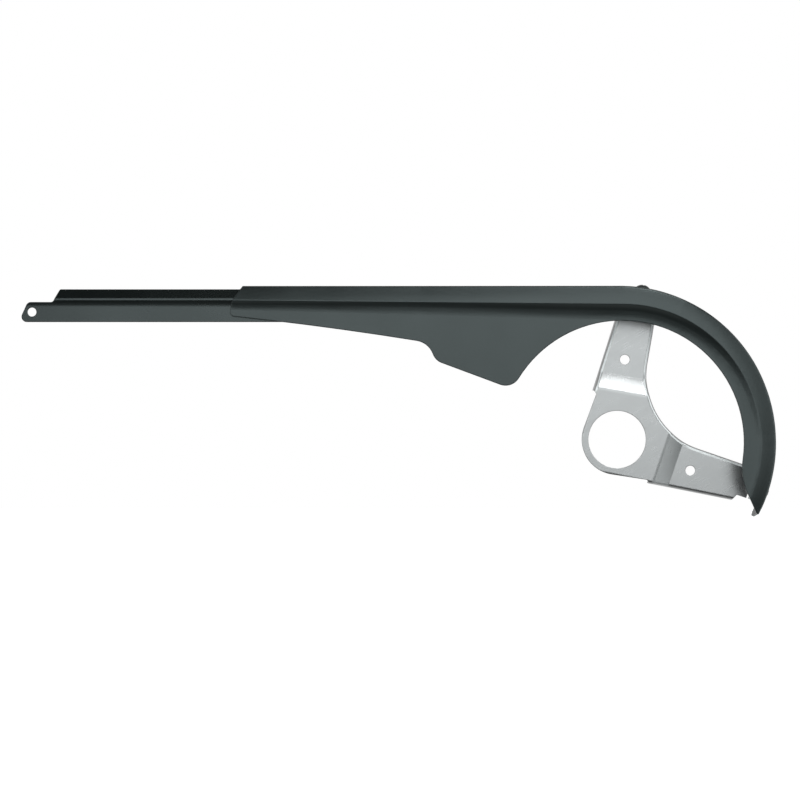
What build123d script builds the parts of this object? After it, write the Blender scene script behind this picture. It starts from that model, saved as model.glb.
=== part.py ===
from build123d import *
import os
from math import acos, atan2, cos, degrees, hypot, radians, sin, sqrt, tan

# Bicycle chain guard: a moulded front guard on a folded steel bracket, and a rear extension
# that telescopes in the guard's straight end. X points to the front of the bicycle, Y inboard
# and Z up. The origin is the centre of the bottom bracket hole, on the face that seats on the
# shell. "Reach" is the distance outboard of that face, so reach = -Y.

os.makedirs("parts", exist_ok=True)

# Guard, side view
guard_wall = 1.6
outer_radius = 94.3
outer_centre = (-0.3, -1.7)
arc_depth = 21.3
inner_centre = (1.4, -1.3)
tip_angle = -27.2
tip_slope = 115.0
tip_blend = 38.0
tongue_length = 3.3
tongue_start = 16.0
tongue_round = 5.0
wing_corner_radius = 9.4
step_lower_radius = 8.9
step_upper_radius = 12.2
rear_end = -234.5
rear_rake_upper = 7.9
rear_rake_lower = 1.6
rear_panel_depth = 9.3
rear_side_round = 12.0
rear_corner_round = 2.5
lower_edge_station = -173.9
lower_edge_depth = 25.4
step_station = -115.0
step_depth = 34.2
step_run = 4.1
step_drop = 10.7
wing_slope = -20.4

# Guard, section across the run
panel_reach = 21.8
flange_edge_reach = 0.0
strip_crown_radius = 45.0
cove_turn_height = 0.6
cove_turn_rise = 0.3
arc_strip_height = 11.1
arc_ridge_rise = 3.0
arc_cove = 9.6
arc_strip_tilt = 12.0
middle_station = -120.0
middle_strip_height = 9.8
middle_ridge_rise = 1.6
middle_cove = 7.6
middle_strip_tilt = 18.5
rear_strip_height = 8.8
rear_ridge_rise = 1.8
rear_cove = 5.4
rear_strip_tilt = 25.0
tip_strip_height = 10.8
tip_ridge_rise = 0.15
tip_cove = 6.0
tip_strip_tilt = 13.0
fading_ridge_rise = 0.8
fading_cove = 8.0
ridge_round = 0.7
tip_ridge_round = 9.0
ridge_fade_start = 66.0
ridge_fade_middle = 20.0
ridge_fade_end = 3.0
flange_edge_round = 1.2

# Rear extension
extension_wall = 1.5
slide_clearance = 0.3
extension_rear = -361.2
extension_front = -150.0
extension_height = 19.8
tab_height = 12.0
tab_step = 20.6
strip_end_rake = 4.0
tab_end_rake = 5.4
tab_corner_round = 3.2
tab_step_round = 2.0
strip_corner_round = 1.2
extension_strip_height = 6.3
extension_ridge_rise = 1.3
extension_cove = 4.4
extension_strip_tilt = 31.0
extension_ridge_round = 2.6
extension_top_round = 0.8
stay_hole_diameter = 5.4
stay_hole_inset = 8.0
stay_hole_height = 6.0

# Guide rail that holds the extension's flange under the guard's flange
rail_length = 72.0
rail_wall = 1.5
rail_lip = 4.0

# Bracket
sheet = 1.5
bottom_bracket_hole = 35.0
ring_width = 4.0
bracket_angle = 30.55
arm_spread = 98.9
arm_inner_side = 10.8
arm_crook_radius = 46.5
fold_start = 27.0
fold_start_side = 19.1
fold_end_gap = 7.9
fold_end_side = 12.2
fold_edge_depth = 11.0
fold_step = 1.8
fold_bend = 2.2
joggle = 5.0
joggle_start = 29.0
joggle_run = 10.0
joggle_crest_bend = 2.5
joggle_foot_bend = 0.8
arm_hole_diameter = 6.0
arm_hole_distance = 48.8
arm_hole_side = 3.4
tab_side = 8.2
tab_gap = 2.2
tab_corner = 2.5
tab_bend = 1.2
relief_width = 1.3
relief_depth = 2.5

# Screws and nuts
upper_screw_reach = 8.5
lower_screw_reach = 5.4
screw_side = 1.1
screw_diameter = 4.0
screw_length = 8.0
head_diameter = 8.0
head_height = 3.1
head_edge = 1.5
recess_span = 4.2
recess_width = 1.1
recess_depth = 1.4
recess_taper = 8.0
screw_clearance = 0.5
thread_clearance = 0.1
head_seat_depth = 0.7
head_seat_clearance = 0.5
boss_diameter = 10.4
boss_height = 0.5
nut_across_flats = 7.0
nut_height = 3.2

# Worked out from the sizes above
top_height = outer_centre[1] + sqrt(outer_radius**2 - (inner_centre[0] - outer_centre[0]) ** 2)
ceiling_height = top_height - guard_wall
inner_radius = outer_radius - arc_depth
run_top = top_height - inner_centre[1]
arc_ridge_radius = run_top - arc_strip_height
middle_ridge_radius = run_top - middle_strip_height
rear_ridge_radius = run_top - rear_strip_height
tip_ridge_radius = run_top - tip_strip_height
extension_top = ceiling_height - slide_clearance
extension_foot_height = extension_top - extension_height
extension_panel_reach = panel_reach - guard_wall - slide_clearance
extension_ridge_height = extension_top - extension_strip_height
ring_radius = bottom_bracket_hole / 2 + ring_width
joggle_end = joggle_start + joggle_run
tab_end_reach = panel_reach - guard_wall - tab_gap
bend_sheet = tab_bend + sheet
screw_hole_diameter = screw_diameter + screw_clearance
section_foot = 20.0
run_past = 8.0
tip_past = 6.0
trim_past = 4.0
far = 400.0
touch = 0.01
arm_angles = (bracket_angle + arm_spread / 2, bracket_angle - arm_spread / 2)
arm_screws = ((arm_angles[0], screw_side, upper_screw_reach),
              (arm_angles[1], -screw_side, lower_screw_reach))


def turned(angle):
    """The direction in the side view at an angle from the front of the bicycle."""
    return Vector(cos(radians(angle)), 0, sin(radians(angle)))


def run_plane(distance, level=0.0):
    """Section plane across the straight run: outboard to the right, heights from a level."""
    return Plane(origin=(distance, 0, level), x_dir=(0, -1, 0), z_dir=(-1, 0, 0))


def arc_plane(angle):
    """Section plane across the arc: outboard to the right, away from the arc's centre up."""
    centre = (inner_centre[0], 0, inner_centre[1])
    return Plane(origin=centre, x_dir=(0, -1, 0), z_dir=turned(angle + 90))


def flange_plane(angle, lift):
    """Plane over the flange's outer face: outboard to the right, back along the arc up."""
    centre = Vector(outer_centre[0], 0, outer_centre[1])
    return Plane(origin=centre + turned(angle) * (outer_radius + lift), x_dir=(0, -1, 0),
                 z_dir=turned(angle + 180))


def arm_plane(angle):
    """Plane along a bracket arm: along the arm to the right, outboard up."""
    return Plane(origin=(0, 0, 0), x_dir=turned(angle), z_dir=turned(angle - 90))


def outer_arc_distance(angle, start=(0.0, 0.0)):
    """Distance from a point of the side view to the flange's outer face, at an angle."""
    offset_x = outer_centre[0] - start[0]
    offset_z = outer_centre[1] - start[1]
    along = offset_x * cos(radians(angle)) + offset_z * sin(radians(angle))
    return along + sqrt(outer_radius**2 - hypot(offset_x, offset_z) ** 2 + along**2)


def guard_section(plane, top, ridge, rise, cove, tilt, bend, inset):
    """The guard's section, filled: panel, cove, ridge, crowned strip and flange.

    The outer skin has its ridge and flange rounded, and the hollow inside keeps sharp corners.
    """
    with BuildSketch(plane) as section:
        with BuildLine():
            foot = (panel_reach, section_foot)
            cove_foot = (panel_reach, ridge - cove)
            cove_turn = (panel_reach + cove_turn_rise * rise, cove_foot[1] + cove_turn_height * cove)
            crest = (panel_reach + rise, ridge)
            strip_end = (crest[0] - (top - ridge) * tan(radians(tilt)), top)
            back = flange_edge_reach - 2 * inset
            Line(foot, cove_foot)
            lower_cove = TangentArc(cove_foot, cove_turn, tangent=(0, 1))
            TangentArc(cove_turn, crest, tangent=lower_cove % 1)
            RadiusArc(crest, strip_end, -strip_crown_radius)
            Polyline(strip_end, (back, top), (back, section_foot), foot)
        make_face()
        if inset:
            offset(amount=-inset, kind=Kind.INTERSECTION)
        else:
            fillet(section.vertices().sort_by(Axis.X)[-1], bend)
            fillet(section.vertices().group_by(Axis.Y)[-1].sort_by(Axis.X)[-1], flange_edge_round)
    return section.sketch


def guard_form(inset):
    """The guard's section carried along the run, round the arc and out to the tip."""
    arc_sizes = (arc_ridge_radius, arc_ridge_rise, arc_cove, arc_strip_tilt, ridge_round, inset)
    middle_sizes = (middle_ridge_radius, middle_ridge_rise, middle_cove, middle_strip_tilt, ridge_round,
                    inset)
    rear_sizes = (rear_ridge_radius, rear_ridge_rise, rear_cove, rear_strip_tilt, ridge_round, inset)
    fading_sizes = (arc_ridge_radius, fading_ridge_rise, fading_cove, arc_strip_tilt, ridge_round, inset)
    tip_sizes = (tip_ridge_radius, tip_ridge_rise, tip_cove, tip_strip_tilt, tip_ridge_round, inset)
    stations = ((90, arc_sizes), (ridge_fade_start, arc_sizes), (ridge_fade_middle, fading_sizes),
                (ridge_fade_end, tip_sizes), (tip_angle - tip_past, tip_sizes))

    def run_section(distance, sizes):
        return guard_section(run_plane(distance, inner_centre[1]), run_top, *sizes)

    def arc_section(angle, sizes):
        return guard_section(arc_plane(angle), outer_arc_distance(angle, inner_centre), *sizes)

    def arc_path(start, end):
        with BuildLine(Plane.XZ.offset(panel_reach)) as path:
            CenterArc(inner_centre, arc_ridge_radius, start, end - start)
        return path.line

    with BuildPart() as form:
        loft([run_section(rear_end - run_past, rear_sizes), run_section(middle_station, middle_sizes),
              run_section(inner_centre[0], arc_sizes)], ruled=True)
        for (start, start_sizes), (end, end_sizes) in zip(stations, stations[1:]):
            sweep([arc_section(start, start_sizes), arc_section(end, end_sizes)],
                  path=arc_path(start, end), multisection=True)
    return form.part


def screw_plane(angle, side, reach, distance):
    """Plane across a guard screw, at a distance along its arm and to one side of the arm's middle."""
    along = turned(angle) * distance
    return Plane(origin=along + turned(angle + 90) * side + Vector(0, -reach, 0),
                 x_dir=(0, -1, 0), z_dir=turned(angle))


def ends_inner_arc(corner):
    """True for a corner of the side view that lies on the guard's inner arc."""
    radius = hypot(corner.X - inner_centre[0], corner.Y - inner_centre[1])
    return abs(radius - inner_radius) < touch


tab_face_radius = min(outer_arc_distance(angle) for angle in arm_angles) - guard_wall - boss_height
skin_form = guard_form(0)
hollow_form = guard_form(guard_wall)

# Front guard: the side view's outline, cut to the skin outside and hollowed inside
with BuildPart() as front_guard:
    with BuildSketch(Plane.XZ.offset(flange_edge_reach)) as outline:
        rear_side = (rear_end + rear_rake_lower, rear_ridge_radius + inner_centre[1])
        rear_foot = (rear_end, rear_side[1] - rear_panel_depth)
        lower_edge_middle = (lower_edge_station, top_height - lower_edge_depth)
        step_top = (step_station, top_height - step_depth)
        step_foot = (step_top[0] + step_run, step_top[1] - step_drop)
        trim_top = outer_centre[1] + outer_radius + trim_past
        rake = (rear_rake_upper - rear_rake_lower) / (top_height - rear_side[1])
        rear_top = (rear_side[0] + rake * (trim_top - rear_side[1]), trim_top)
        with BuildLine():
            Line(rear_top, (outer_centre[0], trim_top))
            bow = CenterArc(outer_centre, outer_radius + trim_past, 90, tip_angle - 90)
            tip = PolarLine(bow @ 1, guard_wall + trim_past, tip_angle + 180)
            tip_edge = PolarLine(tip @ 1, inner_radius, tip_slope)
            wing_end = (inner_centre[0], step_foot[1] + (inner_centre[0] - step_foot[0])
                        * tan(radians(wing_slope)))
            Polyline(tip_edge @ 1, wing_end, step_foot, step_top)
            ThreePointArc(step_top, lower_edge_middle, rear_foot)
            Polyline(rear_foot, rear_side, rear_top)
        make_face()
        with Locations(inner_centre):
            Circle(inner_radius, mode=Mode.SUBTRACT)
        for place, radius in ((rear_side, rear_side_round), (rear_foot, rear_corner_round),
                              (step_top, step_upper_radius), (step_foot, step_lower_radius)):
            fillet(outline.vertices().sort_by_distance(place)[0], radius)
        fillet(outline.vertices().filter_by(ends_inner_arc).sort_by(Axis.X)[0], wing_corner_radius)
        fillet(outline.vertices().filter_by(ends_inner_arc).sort_by(Axis.X)[-1], tip_blend)
    extrude(amount=panel_reach + arc_ridge_rise + guard_wall)
    # Past the tip the flange runs on as a tongue, longest at its rounded inboard corner
    with BuildSketch(flange_plane(tip_angle, trim_past)) as tongue:
        with BuildLine():
            tongue_corner = (flange_edge_reach, -tongue_length)
            Polyline((flange_edge_reach, 2 * tongue_round), tongue_corner, (tongue_start, 0),
                     (tongue_start, 2 * tongue_round), close=True)
        make_face()
        fillet(tongue.vertices().sort_by_distance(tongue_corner)[0], tongue_round)
    extrude(amount=trim_past + 2 * guard_wall)
    add(skin_form, mode=Mode.INTERSECT)
    add(hollow_form, mode=Mode.SUBTRACT)
    # Flat bosses under the flange for the bracket's tabs, with a seat for each screw head
    for angle, side, reach in arm_screws:
        flange_face = outer_arc_distance(angle)
        with BuildSketch(screw_plane(angle, side, reach, tab_face_radius)):
            Circle(boss_diameter / 2)
        extrude(amount=flange_face - guard_wall / 2 - tab_face_radius)
        with BuildSketch(screw_plane(angle, side, reach, flange_face - head_seat_depth)):
            Circle(head_diameter / 2 + head_seat_clearance)
        extrude(amount=head_height, mode=Mode.SUBTRACT)
        with BuildSketch(screw_plane(angle, side, reach, tab_face_radius)):
            Circle(screw_hole_diameter / 2)
        extrude(amount=flange_face, mode=Mode.SUBTRACT)
    # Hooked rail under the flange's inboard edge, which carries the extension's flange
    with BuildSketch(run_plane(rear_end + rear_rake_upper)):
        with BuildLine():
            lip_top = extension_top - extension_wall - slide_clearance
            Polyline((flange_edge_reach, ceiling_height), (flange_edge_reach, lip_top - rail_wall),
                     (flange_edge_reach + rail_wall + rail_lip, lip_top - rail_wall),
                     (flange_edge_reach + rail_wall + rail_lip, lip_top),
                     (flange_edge_reach + rail_wall, lip_top),
                     (flange_edge_reach + rail_wall, ceiling_height), close=True)
        make_face()
    extrude(amount=-rail_length)

front_guard.part.label = "front_guard"
export_step(front_guard.part, "parts/front_guard.step")

# Rear extension: one thin section along the run, cut to its side view
with BuildPart() as rear_extension:
    with BuildSketch(run_plane(extension_rear)) as section:
        cove_foot = (extension_panel_reach, extension_ridge_height - extension_cove)
        crest = (extension_panel_reach + extension_ridge_rise, extension_ridge_height)
        strip_top_reach = (crest[0] - (extension_top - extension_ridge_height)
                           * tan(radians(extension_strip_tilt)))
        flange_end = flange_edge_reach + rail_wall + slide_clearance
        with BuildLine():
            Line((extension_panel_reach, extension_foot_height), cove_foot)
            TangentArc(cove_foot, crest, tangent=(0, 1))
            Polyline(crest, (strip_top_reach, extension_top), (flange_end, extension_top))
            offset(amount=extension_wall, side=Side.LEFT, kind=Kind.INTERSECTION)
        make_face()
        fillet(section.vertices().sort_by_distance(crest)[0], extension_ridge_round)
        fillet(section.vertices().sort_by_distance((strip_top_reach, extension_top))[0],
               extension_top_round)
    extrude(amount=extension_rear - extension_front)
    with BuildSketch(Plane.XZ) as side:
        rear_foot = (extension_rear, extension_foot_height)
        tab_top = (extension_rear + tab_end_rake, extension_foot_height + tab_height)
        step = (extension_rear + tab_step, tab_top[1])
        strip_top = (step[0] + strip_end_rake, extension_top)
        with BuildLine():
            Polyline(rear_foot, tab_top, step, strip_top, (extension_front, extension_top),
                     (extension_front, extension_foot_height), close=True)
        make_face()
        for place, radius in ((rear_foot, tab_corner_round), (tab_top, tab_corner_round),
                              (step, tab_step_round), (strip_top, strip_corner_round)):
            fillet(side.vertices().sort_by_distance(place)[0], radius)
        with Locations((extension_rear + stay_hole_inset, extension_foot_height + stay_hole_height)):
            Circle(stay_hole_diameter / 2, mode=Mode.SUBTRACT)
    extrude(amount=far, both=True, mode=Mode.INTERSECT)

rear_extension.part.label = "rear_extension"
export_step(rear_extension.part, "parts/rear_extension.step")

# Mounting bracket: one pressed sheet. Its side view is mirrored about the line between the arms.
bracket_plane = Plane(origin=(0, 0, 0), x_dir=turned(bracket_angle), z_dir=(0, -1, 0))
half_spread = arm_spread / 2


def arm_point(along, side):
    """A point of the bracket's side view from its place on the upper arm."""
    return Vector(along, side).rotate(Axis.Z, half_spread)


def joggle_profile(angle, shift_along, shift_out, upper_bend, lower_bend):
    """All that lies outboard of the stepped line from the ring's face down to the arm's face."""
    with BuildSketch(arm_plane(angle)) as profile:
        start = (joggle_start + shift_along - upper_bend, shift_out)
        upper = (joggle_start + shift_along, shift_out)
        lower = (joggle_end + shift_along, shift_out - joggle)
        top = shift_out + sheet
        with BuildLine():
            Polyline((start[0], top), start, upper, lower, (far, lower[1]), (far, top), close=True)
        make_face()
        fillet(profile.vertices().sort_by_distance(upper)[0], upper_bend)
        fillet(profile.vertices().sort_by_distance(lower)[0], lower_bend)
    return profile.sketch


# The crook between the arms is a fillet of their inner sides, which meet on the mirror line
crook_corner = arm_inner_side / sin(radians(half_spread))
crook_centre = crook_corner + arm_crook_radius / sin(radians(half_spread))
bend_start = tab_face_radius - bend_sheet
arm_end = bend_start - relief_width
fold_end = arm_end - fold_end_gap
fold_slope = (fold_end_side - fold_start_side) / (fold_end - fold_start)
fold_shift = sheet * sqrt(1 + fold_slope**2)
ring_corner = arm_point(fold_start - fold_step, fold_start_side - fold_step)
ring_touch = Vector(ring_radius, 0).rotate(
    Axis.Z, degrees(atan2(ring_corner.Y, ring_corner.X) + acos(ring_radius / ring_corner.length)))
ramp_shift = -sheet * tan(atan2(joggle, joggle_end - joggle_start) / 2)


def crook(side_shift):
    """Half of the crook's arc, from the mirror line to the upper arm, shifted into the sheet."""
    radius = arm_crook_radius + side_shift
    return CenterArc((crook_centre, 0), radius, 180, half_spread - 90)


def is_folded(edge):
    """True for an outboard edge of the bracket where the sheet is folded back."""
    flat = bracket_plane.to_local_coords(edge @ 0.5)
    on_arm = Vector(flat.X, abs(flat.Y)).rotate(Axis.Z, -half_spread)
    fold_line = fold_start_side + fold_slope * (on_arm.X - fold_start)
    on_crook = abs(hypot(flat.X - crook_centre, flat.Y) - arm_crook_radius) < touch
    on_inner = abs(on_arm.Y + arm_inner_side) < touch and on_arm.X < fold_end
    on_outer = abs(on_arm.Y - fold_line) < touch and fold_start < on_arm.X < fold_end
    is_rim = max(corner.Y for corner in edge.vertices()) < fold_edge_depth - touch
    return is_rim and (on_crook or on_inner or on_outer)


# The hollow behind the sheet, inside the folded edges and open at the ring and the arm ends
with BuildPart() as bracket_hollow:
    with BuildSketch(bracket_plane.offset(-fold_edge_depth)):
        with BuildLine():
            bend = crook(sheet)
            Polyline(bend @ 1, arm_point(fold_end, sheet - arm_inner_side),
                     arm_point(fold_end, -fold_start_side), arm_point(tab_face_radius, -fold_start_side),
                     arm_point(tab_face_radius, 2 * fold_start_side),
                     arm_point(fold_end, 2 * fold_start_side),
                     arm_point(fold_end, fold_end_side - fold_shift),
                     arm_point(fold_start, fold_start_side - fold_shift),
                     arm_point(fold_start, 2 * fold_start_side), (-2 * ring_radius, 2 * ring_radius),
                     (-2 * ring_radius, 0))
            mirror(about=Plane.XZ)
        make_face()
    extrude(amount=fold_edge_depth)
    for angle in arm_angles:
        extrude(joggle_profile(angle, ramp_shift, 0, joggle_crest_bend, joggle_foot_bend + sheet),
                amount=far, both=True, mode=Mode.SUBTRACT)

# Mounting bracket
with BuildPart() as mounting_bracket:
    with BuildSketch(bracket_plane.offset(-fold_edge_depth)):
        with BuildLine():
            bend = crook(0)
            ring = CenterArc((0, 0), ring_radius, 180, degrees(atan2(ring_touch.Y, ring_touch.X)) - 180)
            Polyline(bend @ 1, arm_point(fold_end, -arm_inner_side),
                     arm_point(fold_end + fold_step, -tab_side), arm_point(arm_end, -tab_side),
                     arm_point(arm_end, tab_side), arm_point(fold_end + fold_step, tab_side),
                     arm_point(fold_end, fold_end_side),
                     arm_point(fold_start, fold_start_side), ring_corner, ring @ 1)
            mirror(about=Plane.XZ)
        make_face()
    extrude(amount=fold_edge_depth + sheet)
    for angle in arm_angles:
        extrude(joggle_profile(angle, 0, sheet, joggle_crest_bend + sheet, joggle_foot_bend),
                amount=far, both=True, mode=Mode.SUBTRACT)
    fillet(mounting_bracket.edges().filter_by(is_folded), fold_bend)
    add(bracket_hollow.part, mode=Mode.SUBTRACT)
    for angle, side, reach in arm_screws:
        # End tab, bent outboard under the guard's flange, with a relief at each end of the bend
        with BuildSketch(arm_plane(angle)) as tab:
            outside = (tab_face_radius, -joggle)
            inside = (tab_face_radius - sheet, sheet - joggle)
            with BuildLine():
                Polyline((arm_end, -joggle), outside, (tab_face_radius, tab_end_reach),
                         (inside[0], tab_end_reach), inside, (arm_end, inside[1]), close=True)
            make_face()
            fillet(tab.vertices().sort_by_distance(outside)[0], bend_sheet)
            fillet(tab.vertices().sort_by_distance(inside)[0], tab_bend)
        extrude(amount=tab_side, both=True)
        tab_corners = mounting_bracket.edges().filter_by(Axis((0, 0, 0), turned(angle)))
        fillet(tab_corners.filter_by(lambda edge: -edge.center().Y > tab_end_reach - touch), tab_corner)
        for tab_edge in (-tab_side, tab_side):
            with BuildSketch(arm_plane(angle).offset(tab_edge)):
                with Locations((arm_end + relief_width / 2, sheet / 2 - joggle)):
                    Rectangle(relief_width, 2 * sheet)
            extrude(amount=relief_depth, both=True, mode=Mode.SUBTRACT)
        with BuildSketch(screw_plane(angle, side, reach, tab_face_radius)):
            Circle(screw_hole_diameter / 2)
        extrude(amount=-2 * sheet, mode=Mode.SUBTRACT)
    with BuildSketch(bracket_plane):
        Circle(bottom_bracket_hole / 2)
        hole = arm_point(arm_hole_distance, arm_hole_side)
        with Locations((hole.X, hole.Y), (hole.X, -hole.Y)):
            Circle(arm_hole_diameter / 2)
    extrude(amount=fold_edge_depth, both=True, mode=Mode.SUBTRACT)

mounting_bracket.part.label = "mounting_bracket"
export_step(mounting_bracket.part, "parts/mounting_bracket.step")

# Pan-head screws, from the flange's outer face through the tabs
with BuildPart() as guard_screws:
    for angle, side, reach in arm_screws:
        seat = screw_plane(angle, side, reach, outer_arc_distance(angle) - head_seat_depth)
        with BuildSketch(Plane(origin=seat.origin, x_dir=seat.x_dir, z_dir=turned(angle + 90))):
            with BuildLine():
                shank = Polyline((0, 0), (0, -screw_length), (screw_diameter / 2, -screw_length),
                                 (screw_diameter / 2, 0), (head_diameter / 2, 0),
                                 (head_diameter / 2, head_edge))
                dome_rise = head_height - head_edge
                dome_radius = ((head_diameter / 2) ** 2 + dome_rise**2) / (2 * dome_rise)
                RadiusArc(shank @ 1, (0, head_height), -dome_radius)
                Line((0, head_height), (0, 0))
            make_face()
        revolve(axis=Axis(seat.origin, seat.z_dir))
        with BuildSketch(seat.offset(head_height)):
            Rectangle(recess_span, recess_width)
            Rectangle(recess_width, recess_span)
        extrude(amount=-recess_depth, taper=recess_taper, mode=Mode.SUBTRACT)

guard_screws.part.label = "guard_screws"
export_step(guard_screws.part, "parts/guard_screws.step")

# Hexagon nuts under the tabs
with BuildPart() as guard_nuts:
    for angle, side, reach in arm_screws:
        with BuildSketch(screw_plane(angle, side, reach, tab_face_radius - sheet)):
            RegularPolygon(nut_across_flats / 2, 6, major_radius=False)
            Circle((screw_diameter + thread_clearance) / 2, mode=Mode.SUBTRACT)
        extrude(amount=-nut_height)

guard_nuts.part.label = "guard_nuts"
export_step(guard_nuts.part, "parts/guard_nuts.step")
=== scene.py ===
# %% [markdown]
# # A bicycle chain guard in Blender
# The guard keeps trouser legs off the chain. It is a long black moulding that curves round the
# chainring, with a second moulding that slides out of its rear end, and it hangs on a folded
# steel bracket that is clamped at the bottom bracket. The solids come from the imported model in
# metres, with X to the front of the bicycle, Y inboard and Z up, so this lesson is about the
# surfaces, the light and the camera.

# %% Load the solids
from math import cos, pi, radians, sin

import bpy
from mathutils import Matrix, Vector

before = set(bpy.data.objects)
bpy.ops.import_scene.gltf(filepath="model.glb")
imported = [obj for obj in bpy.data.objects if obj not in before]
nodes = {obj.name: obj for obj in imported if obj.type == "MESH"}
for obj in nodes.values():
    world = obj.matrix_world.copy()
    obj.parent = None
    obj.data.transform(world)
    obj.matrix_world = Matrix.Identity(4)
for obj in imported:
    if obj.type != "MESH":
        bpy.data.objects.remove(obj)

scene = bpy.context.scene
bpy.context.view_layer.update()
print("solids:", ", ".join(sorted(nodes)))

# %% [markdown]
# Colours are written as sRGB hex values, as a colour picker shows them. Shaders work with linear
# light, so one function turns the one into the other, and a second makes a darker or paler shade.
# A third adds any shader node, sets its inputs by name and links them, which keeps each material
# short enough to read. The last starts an empty material.


# %% Helpers for materials
def to_linear(code):
    """A linear RGBA colour from an sRGB hex code."""
    channels = [int(code[place:place + 2], 16) / 255 for place in (0, 2, 4)]
    linear = [c / 12.92 if c <= 0.04045 else ((c + 0.055) / 1.055) ** 2.4 for c in channels]
    return (*linear, 1.0)


def shade(colour, share):
    """A linear RGBA colour with its light multiplied by a share."""
    return (*[share * channel for channel in colour[:3]], 1.0)


def add_node(tree, kind, inputs=None, **settings):
    """A node of a kind, with its settings made and its inputs set or linked."""
    node = tree.nodes.new(kind)
    for name, value in settings.items():
        setattr(node, name, value)
    for name, value in (inputs or {}).items():
        if isinstance(value, bpy.types.NodeSocket):
            tree.links.new(value, node.inputs[name])
        else:
            node.inputs[name].default_value = value
    return node


def new_material(name):
    """An empty material, and the node tree to build it in."""
    material = bpy.data.materials.new(name)
    material.use_nodes = True
    material.node_tree.nodes.clear()
    return material, material.node_tree


mm = 0.001
white = (1.0, 1.0, 1.0, 1.0)
print("one millimetre is", mm, "of the scene's units")

# %% [markdown]
# The camera comes next, because everything is judged through it. The photograph looks straight
# along Y at the middle of the guard, from far enough away that the inside of the flange doesn't
# show. At the panel one pixel is 0.6 mm, so the frame of 800 pixels is 480 mm wide there.

# %% Camera
panel_plane = -21.8 * mm
view_distance = 1.5
view_width = 0.48
view_centre = Vector((-132.06 * mm, panel_plane, 24.04 * mm))

camera_data = bpy.data.cameras.new("camera")
camera_data.sensor_width = 36.0
camera_data.lens = camera_data.sensor_width * view_distance / view_width
camera = bpy.data.objects.new("camera", camera_data)
camera.location = view_centre - Vector((0, view_distance, 0))
camera.rotation_euler = (pi / 2, 0, 0)
scene.collection.objects.link(camera)
scene.camera = camera
print("lens %.1f mm at %.2f m" % (camera_data.lens, view_distance))

# %% [markdown]
# What shines back from black plastic and steel matters more than the light that falls on them.
# Cards could stand round the part for it to mirror, but the world can do that without any
# objects. Behind the part and at its sides the studio is pale, and in front it is a dark room
# with soft lamps, so the world seen in a reflection fades from pale to dark from back to front.
# It is palest low down at the back, as a table top is, which tells the ramps of the steel from
# its flat parts when the part is seen from behind. Straight down it is pale too, as the floor
# is, so the steel stays a pale metal when it is seen from above.

# %% World in a reflection
dark_room = 0.02
backdrop_level = 0.62
fade_front, fade_back = -0.1, 0.45
side_share = 0.5
table_share = 1.6
table_low, table_high = -0.55, 0.1
ground_level = 0.35
ground_low, ground_high = -0.9, -0.7

world = bpy.data.worlds.new("studio")
scene.world = world
world.use_nodes = True
tree = world.node_tree
tree.nodes.clear()
look = add_node(tree, "ShaderNodeTexCoord")
way = add_node(tree, "ShaderNodeSeparateXYZ", {"Vector": look.outputs["Generated"]})
aside = add_node(tree, "ShaderNodeMath", {0: way.outputs["X"]}, operation="ABSOLUTE")
around = add_node(tree, "ShaderNodeMath", {
    0: aside.outputs[0], 1: side_share, 2: way.outputs["Y"]}, operation="MULTIPLY_ADD")
behind = add_node(tree, "ShaderNodeMapRange", {
    "Value": around.outputs[0], "From Min": fade_front, "From Max": fade_back,
    "To Min": dark_room, "To Max": backdrop_level}, interpolation_type="SMOOTHSTEP")
below = add_node(tree, "ShaderNodeMapRange", {
    "Value": way.outputs["Z"], "From Min": table_low, "From Max": table_high,
    "To Min": table_share, "To Max": 1.0})
studio = add_node(tree, "ShaderNodeMath", {
    0: behind.outputs["Result"], 1: below.outputs["Result"]}, operation="MULTIPLY")
ground = add_node(tree, "ShaderNodeMapRange", {
    "Value": way.outputs["Z"], "From Min": ground_high, "From Max": ground_low,
    "To Min": 0.0, "To Max": ground_level})
mirrored = add_node(tree, "ShaderNodeMath", {
    0: studio.outputs[0], 1: ground.outputs["Result"]}, operation="MAXIMUM")
print("mirrored: %.2f behind, %.2f in front" % (backdrop_level, dark_room))

# %% [markdown]
# The photograph has a plain white background. More light would give that and wash the part out,
# so the world is white only where the camera looks at it, also through a glass. As a light it is
# moderately bright, and a glossy surface sees the fading world of the last cell.

# %% World as light and background
room_level = 0.5
room_tint = "f4fafa"

room = add_node(tree, "ShaderNodeBackground", {
    "Color": to_linear(room_tint), "Strength": room_level})
mirror = add_node(tree, "ShaderNodeBackground", {
    "Color": white, "Strength": mirrored.outputs[0]})
backdrop = add_node(tree, "ShaderNodeBackground", {"Color": white, "Strength": 1.0})
rays = add_node(tree, "ShaderNodeLightPath")
with_mirror = add_node(tree, "ShaderNodeMixShader", {
    0: rays.outputs["Is Glossy Ray"], 1: room.outputs[0], 2: mirror.outputs[0]})
seen = add_node(tree, "ShaderNodeMath", {
    0: rays.outputs["Is Camera Ray"], 1: rays.outputs["Is Transmission Ray"]},
    operation="MAXIMUM")
with_backdrop = add_node(tree, "ShaderNodeMixShader", {
    0: seen.outputs[0], 1: with_mirror.outputs[0], 2: backdrop.outputs[0]})
add_node(tree, "ShaderNodeOutputWorld", {"Surface": with_backdrop.outputs[0]})
print("world level", room_level)

# %% [markdown]
# The part is held in the air by its bracket, so the floor lies well below it and a low camera
# still stands above the floor. It is pale, takes the soft shadow and is lifted to white for the
# camera. It stays out of reflections, where the world already gives the studio.

# %% Floor
floor_height = -1.35
floor_size = 60.0
floor_lift = 0.8
floor_colour = "e8ebeb"

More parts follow.
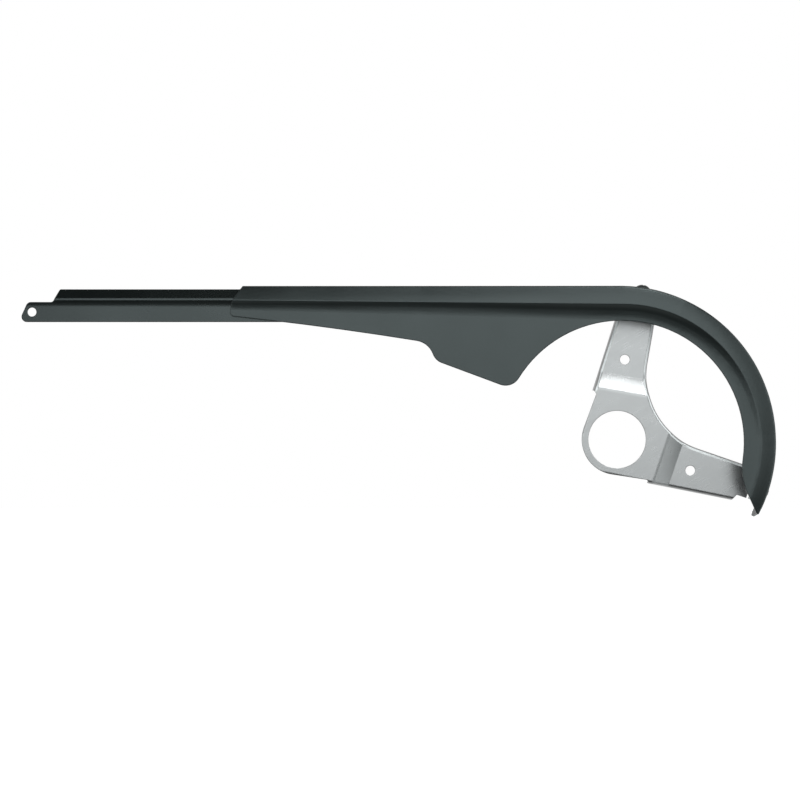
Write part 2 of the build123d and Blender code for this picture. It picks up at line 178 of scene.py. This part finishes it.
bpy.ops.mesh.primitive_plane_add(size=floor_size, location=(0, 0, floor_height))
floor = bpy.context.object
floor.name = "floor"
floor.visible_glossy = False
# Matt paint: a plain pale ground with no shine of its own
floor_paint, tree = new_material("pale floor paint")
rays = add_node(tree, "ShaderNodeLightPath")
paint = add_node(tree, "ShaderNodeBsdfDiffuse", {"Color": to_linear(floor_colour)})
lift = add_node(tree, "ShaderNodeEmission", {"Color": white, "Strength": floor_lift})
lit = add_node(tree, "ShaderNodeAddShader", {0: paint.outputs[0], 1: lift.outputs[0]})
shown = add_node(tree, "ShaderNodeMixShader", {
    0: rays.outputs["Is Camera Ray"], 1: paint.outputs[0], 2: lit.outputs[0]})
add_node(tree, "ShaderNodeOutputMaterial", {"Surface": shown.outputs[0]})
floor.data.materials.append(floor_paint)
print("floor at %.0f mm" % (1000 * floor_height))

# %% [markdown]
# Black plastic has almost no colour of its own: nearly all that shows is the lamps on its
# surface. A broad soft lamp in front gives the flat panel its even grey. It ends below the
# directions that the raised strip mirrors, so the strip falls dark towards the rear. A weak lamp
# below softens the cove, and two lamps on the right shade the strip down the arc. A small lamp
# above lights the ramp of the upper arm, and one on the left draws the arm's folded rear edge.


# %% Lamps
def soft_lamp(name, place, aim, width, height, radiance, tint):
    """A rectangular soft lamp at a place, aimed at a point, with a given brightness."""
    data = bpy.data.lights.new(name, "AREA")
    data.shape = "RECTANGLE"
    data.size = width
    data.size_y = height
    data.color = to_linear(tint)[:3]
    data.energy = radiance * pi * width * height
    lamp = bpy.data.objects.new(name, data)
    lamp.location = place
    lamp.rotation_euler = (Vector(aim) - Vector(place)).to_track_quat("-Z", "Y").to_euler()
    scene.collection.objects.link(lamp)
    print("%s: %.2f by %.2f m" % (name, width, height))


front_tint = "fafeff"
rim_tint = "fbfeff"
# Name, place and aim in metres, width and height in metres, radiance, tint
for lamp_values in (
        ("front lamp", (0.075, -1.66, 0.45), (0.03, 0, 0.05), 1.45, 1.26, 1.65, front_tint),
        ("lower lamp", (0.02, -1.2, -0.4), (-0.05, 0, 0.05), 1.3, 0.56, 0.12, front_tint),
        ("side lamp", (1.02, -1.29, 0.2), (0.05, 0, 0.05), 0.86, 1.0, 0.44, front_tint),
        ("right lamp", (1.38, -0.75, 0.25), (0.04, 0, 0), 0.5, 1.7, 2.1, rim_tint),
        ("upper lamp", (0.34, -0.87, 1.21), (0, 0, 0.03), 0.6, 0.56, 5.2, rim_tint),
        ("left lamp", (-1.15, -1.0, 0.1), (0.02, 0, 0), 0.7, 1.3, 1.6, rim_tint)):
    soft_lamp(*lamp_values)

# %% [markdown]
# The two mouldings are black polypropylene. The tool that moulds them is spark eroded, so the
# skin is satin, with a fine grain and slightly duller and glossier patches where the plastic
# flowed. A picture of such a skin would need an unwrapped surface, and noise in Object
# coordinates needs none, so grain and flow are two noises, each with its size in millimetres.
# The plastic's own colour is the near black that shows in the dark cove, and the grey of the
# panel is gloss. Edges are rounded a little and scuffed dull by trouser legs and shoes.

# %% Sizes on the plastic
# The grain of the tool is about 0.15 mm, and is drawn at 0.7 mm so that it shows at all
grain_size = 0.7 * mm
grain_depth = 0.02 * mm
flow_size = 45 * mm
flow_dulling = 0.03
moulded_edge = 0.8 * mm
scuff_dulling = 0.25
print("grain %.1f mm, flow %.0f mm" % (grain_size / mm, flow_size / mm))


# %% Satin black polypropylene
def satin_plastic(name, colour, roughness, shine):
    """Moulded polypropylene: near black, satin, with a fine grain and faint flow patches."""
    material, tree = new_material(name)
    place = add_node(tree, "ShaderNodeTexCoord")
    grain = add_node(tree, "ShaderNodeTexNoise", {
        "Vector": place.outputs["Object"], "Scale": 1 / grain_size,
        "Detail": 3.0, "Roughness": 0.6})
    flow = add_node(tree, "ShaderNodeTexNoise", {
        "Vector": place.outputs["Object"], "Scale": 1 / flow_size,
        "Detail": 4.0, "Roughness": 0.55})
    dull = add_node(tree, "ShaderNodeMapRange", {
        "Value": flow.outputs["Fac"], "From Min": 0.3, "From Max": 0.7,
        "To Min": roughness - flow_dulling, "To Max": roughness + flow_dulling})
    # Where the rounded normal leaves the face's own, there is an edge, and edges are scuffed dull
    edge = add_node(tree, "ShaderNodeBevel", {"Radius": moulded_edge}, samples=8)
    face = add_node(tree, "ShaderNodeNewGeometry")
    turn = add_node(tree, "ShaderNodeVectorMath", {
        0: edge.outputs["Normal"], 1: face.outputs["Normal"]}, operation="DOT_PRODUCT")
    scuffed = add_node(tree, "ShaderNodeMapRange", {
        "Value": turn.outputs["Value"], "From Min": 0.8, "From Max": 1.0,
        "To Min": scuff_dulling, "To Max": 0.0})
    wear_and_highlight_roughness = add_node(tree, "ShaderNodeMath", {
        0: dull.outputs["Result"], 1: scuffed.outputs["Result"]}, operation="ADD")
    bump = add_node(tree, "ShaderNodeBump", {
        "Height": grain.outputs["Fac"], "Strength": 0.12, "Distance": grain_depth,
        "Normal": edge.outputs["Normal"]})
    base = to_linear(colour)
    tone = add_node(tree, "ShaderNodeMix", {
        0: flow.outputs["Fac"], 6: shade(base, 0.85), 7: shade(base, 1.15)}, data_type="RGBA")
    skin = add_node(tree, "ShaderNodeBsdfPrincipled", {
        "Base Color": tone.outputs[2], "Roughness": wear_and_highlight_roughness.outputs[0],
        "Normal": bump.outputs["Normal"], "IOR": 1.5, "Specular IOR Level": shine,
        "Specular Tint": to_linear("f0ffff")})
    add_node(tree, "ShaderNodeOutputMaterial", {"Surface": skin.outputs[0]})
    print("made", name)
    return material


# To the eye: almost black in the shade, with an even soft grey where a lamp lies on it
guard_plastic = satin_plastic("satin black polypropylene", "0e1312", 0.32, 0.9)
# To the eye: the same, with a darker base colour and a little smoother
extension_plastic = satin_plastic("satin black polypropylene, extension", "090d0c", 0.26, 0.84)

# %% [markdown]
# The bracket is pressed from steel sheet and zinc plated. The sheet keeps the fine lines of the
# rolling mill, all in one direction, and the plating lies over them as a soft grey shine with
# faint cloudy patches. Stretched highlights alone could stand for the lines, but from near they
# show one by one, so a noise drawn out along the sheet makes them. The screws and nuts are
# plated too.

# %% Sizes on the steel
# The sheet lies in the bracket with its lines along the middle between the two arms
sheet_turn = radians(30.55)
# The mill's lines are about 0.05 mm apart, and are drawn at 0.4 mm so that they show
line_length = 30 * mm
line_spacing = 0.4 * mm
line_depth = 0.01 * mm
cloud_size = 9 * mm
cloud_dulling = 0.04
# A punched edge is rolled over a little
punched_edge = 0.5 * mm
print("mill lines %.1f mm apart, clouds %.0f mm" % (line_spacing / mm, cloud_size / mm))


# %% Zinc plated steel
def plated_steel(name, colour, roughness, line_angle):
    """Rolled steel with zinc plating: fine lines one way under faint cloudy patches."""
    material, tree = new_material(name)
    place = add_node(tree, "ShaderNodeTexCoord", name="place")
    along = add_node(tree, "ShaderNodeMapping", {
        "Vector": place.outputs["Object"], "Rotation": (0, line_angle, 0)})
    stretch = add_node(tree, "ShaderNodeMapping", {
        "Vector": along.outputs["Vector"],
        "Scale": (1 / line_length, 1 / line_spacing, 1 / line_spacing)})
    lines = add_node(tree, "ShaderNodeTexNoise", {
        "Vector": stretch.outputs["Vector"], "Scale": 1.0, "Detail": 3.0, "Roughness": 0.6})
    cloud = add_node(tree, "ShaderNodeTexNoise", {
        "Vector": place.outputs["Object"], "Scale": 1 / cloud_size,
        "Detail": 3.0, "Roughness": 0.5})
    both = add_node(tree, "ShaderNodeMath", {
        0: lines.outputs["Fac"], 1: cloud.outputs["Fac"]}, operation="ADD")
    dull = add_node(tree, "ShaderNodeMapRange", {
        "Value": both.outputs[0], "From Min": 0.7, "From Max": 1.3,
        "To Min": roughness - cloud_dulling, "To Max": roughness + cloud_dulling}, name="dull")
    edge = add_node(tree, "ShaderNodeBevel", {"Radius": punched_edge}, samples=8)
    bump = add_node(tree, "ShaderNodeBump", {
        "Height": lines.outputs["Fac"], "Strength": 0.04, "Distance": line_depth,
        "Normal": edge.outputs["Normal"]})
    base = to_linear(colour)
    tone = add_node(tree, "ShaderNodeMix", {
        0: cloud.outputs["Fac"], 6: shade(base, 0.94), 7: shade(base, 1.06)},
        data_type="RGBA", name="tone")
    skin = add_node(tree, "ShaderNodeBsdfPrincipled", {
        "Base Color": tone.outputs[2], "Metallic": 1.0, "Roughness": dull.outputs["Result"],
        "Normal": bump.outputs["Normal"]}, name="skin")
    add_node(tree, "ShaderNodeOutputMaterial", {"Surface": skin.outputs[0]})
    print("made", name)
    return material


# To the eye: a pale silver shine, with fine lines drawn across the whole sheet
bracket_steel = plated_steel("zinc plated steel sheet", "adaeae", 0.3, sheet_turn)
# To the eye: a dark grey that shows as a glint on the round of the head
screw_steel = plated_steel("dark zinc plated screw steel", "3a3f3f", 0.34, 0.0)
# To the eye: a pale silver, a little duller than the sheet
nut_steel = plated_steel("zinc plated nut steel", "a7a8a6", 0.32, 0.0)

# %% [markdown]
# Along the folds of the sheet a pale matt highlight is painted on the outboard side, where the
# bends catch the light, and the ramp of the lower arm gets a painted shade, half matt and a
# darker grey. Such places could be painted on the mesh, but the solids stay as they come. So the
# finish measures which way the skin faces and how far it is from the ring's centre, and both
# follow the folds exactly. Each measure becomes a mask between two limits, and the masks are then
# joined in pairs.

# %% Measures for the painted light on the steel
half_spread = radians(49.45)
lower_turn = sheet_turn - half_spread
crook_way = (cos(sheet_turn), 0.0, sin(sheet_turn))
lower_way = (cos(lower_turn), 0.0, sin(lower_turn))

tree = bracket_steel.node_tree
place, dull, tone, skin = [tree.nodes[name] for name in ("place", "dull", "tone", "skin")]
facing = add_node(tree, "ShaderNodeSeparateXYZ", {"Vector": place.outputs["Normal"]})
apart = add_node(tree, "ShaderNodeVectorMath", {0: place.outputs["Object"]}, operation="LENGTH")
lean = add_node(tree, "ShaderNodeVectorMath", {
    0: place.outputs["Normal"], 1: crook_way}, operation="DOT_PRODUCT")
slope = add_node(tree, "ShaderNodeVectorMath", {
    0: place.outputs["Normal"], 1: lower_way}, operation="DOT_PRODUCT")
print("the lower arm lies %.1f degrees below X" % (-lower_turn * 180 / pi))

# %% Masks for the painted highlights and shade on the steel
# Strength of the pale highlight painted along the folds; the shade painted on the lower ramp is a
# share of it
highlight_share = 0.95
ramp_shade_share = 0.65 * highlight_share

masks = {}
# Name, measure, where the mask starts, where it is full, and how strong it is there
for name, measure, start, full, share in (
        # The crook leans away from the ring by more than the ramps do
        ("at crook", lean.outputs["Value"], 0.31, 0.37, highlight_share),
        # Past the ramps the arms are flat, so a slight lean already tells the fold
        ("past ramps", apart.outputs["Value"], 42 * mm, 45 * mm, highlight_share),
        ("slight lean", lean.outputs["Value"], 0.07, 0.14, 1.0),
        # The ring's own edge is only rolled over, so the painted rear edge highlight starts with
        # the fold
        ("past ring", apart.outputs["Value"], 30.5 * mm, 33 * mm, highlight_share),
        ("leans back", facing.outputs["X"], -0.1, -0.18, 1.0),
        ("outboard", facing.outputs["Y"], -0.66, -0.8, 1.0),
        ("on lower ramp", slope.outputs["Value"], 0.04, 0.2, ramp_shade_share)):
    mask = add_node(tree, "ShaderNodeMapRange", {
        "Value": measure, "From Min": start, "From Max": full, "To Min": 0.0, "To Max": share})
    masks[name] = mask.outputs["Result"]

for name, first, second, join in (
        ("on arms", "past ramps", "slight lean", "MULTIPLY"),
        ("inner folds", "at crook", "on arms", "MAXIMUM"),
        ("rear fold", "past ring", "leans back", "MULTIPLY"),
        ("folds", "inner folds", "rear fold", "MAXIMUM"),
        # A painted highlight on the outboard side of the folds, and a painted shade on the lower
        # ramp
        ("painted fold highlight", "folds", "outboard", "MULTIPLY"),
        ("painted ramp shade", "on lower ramp", "outboard", "MULTIPLY"),
        ("all painted light", "painted fold highlight", "painted ramp shade", "MAXIMUM")):
    joined = add_node(tree, "ShaderNodeMath", {
        0: masks[first], 1: masks[second]}, operation=join)
    masks[name] = joined.outputs[0]
print("masks:", ", ".join(masks))

# %% Painted highlights and shade on the steel
# A pale matt colour painted on the folds as a highlight, with more roughness there, and a darker
# grey painted on the lower ramp as shade
highlight_dulling = 0.3
painted_shade_colour = "8f9191"
painted_highlight_colour = "f6f8f8"

wear_and_highlight_roughness = add_node(tree, "ShaderNodeMath", {
    0: masks["painted fold highlight"], 1: highlight_dulling, 2: dull.outputs["Result"]}, operation="MULTIPLY_ADD")
metal = add_node(tree, "ShaderNodeMapRange", {
    "Value": masks["all painted light"], "To Min": 1.0, "To Max": 0.0})
grey = add_node(tree, "ShaderNodeMix", {
    0: masks["painted ramp shade"], 6: tone.outputs[2], 7: to_linear(painted_shade_colour)}, data_type="RGBA")
base_with_painted_light = add_node(tree, "ShaderNodeMix", {
    0: masks["painted fold highlight"], 6: grey.outputs[2], 7: to_linear(painted_highlight_colour)}, data_type="RGBA")
tree.links.new(base_with_painted_light.outputs[2], skin.inputs["Base Color"])
tree.links.new(metal.outputs["Result"], skin.inputs["Metallic"])
tree.links.new(wear_and_highlight_roughness.outputs[0], skin.inputs["Roughness"])
print("painted a highlight on the folds and a shade on the lower ramp of", bracket_steel.name)

# %% [markdown]
# Each solid keeps its own mesh and takes its finish in its material slot.

# %% Finishes on the solids
finishes = {
    "front_guard": guard_plastic,
    "rear_extension": extension_plastic,
    "mounting_bracket": bracket_steel,
    "guard_screws": screw_steel,
    "guard_nuts": nut_steel,
}
for name, finish in finishes.items():
    nodes[name].material_slots[0].material = finish
    print(name, "is", finish.name)

# %% [markdown]
# The plain colour transform shows each colour as it is written. Last, the box of the dressed part
# is written beside the box of the solids, to show that no surface has grown.

# %% Finish
scene.view_settings.view_transform = "Standard"
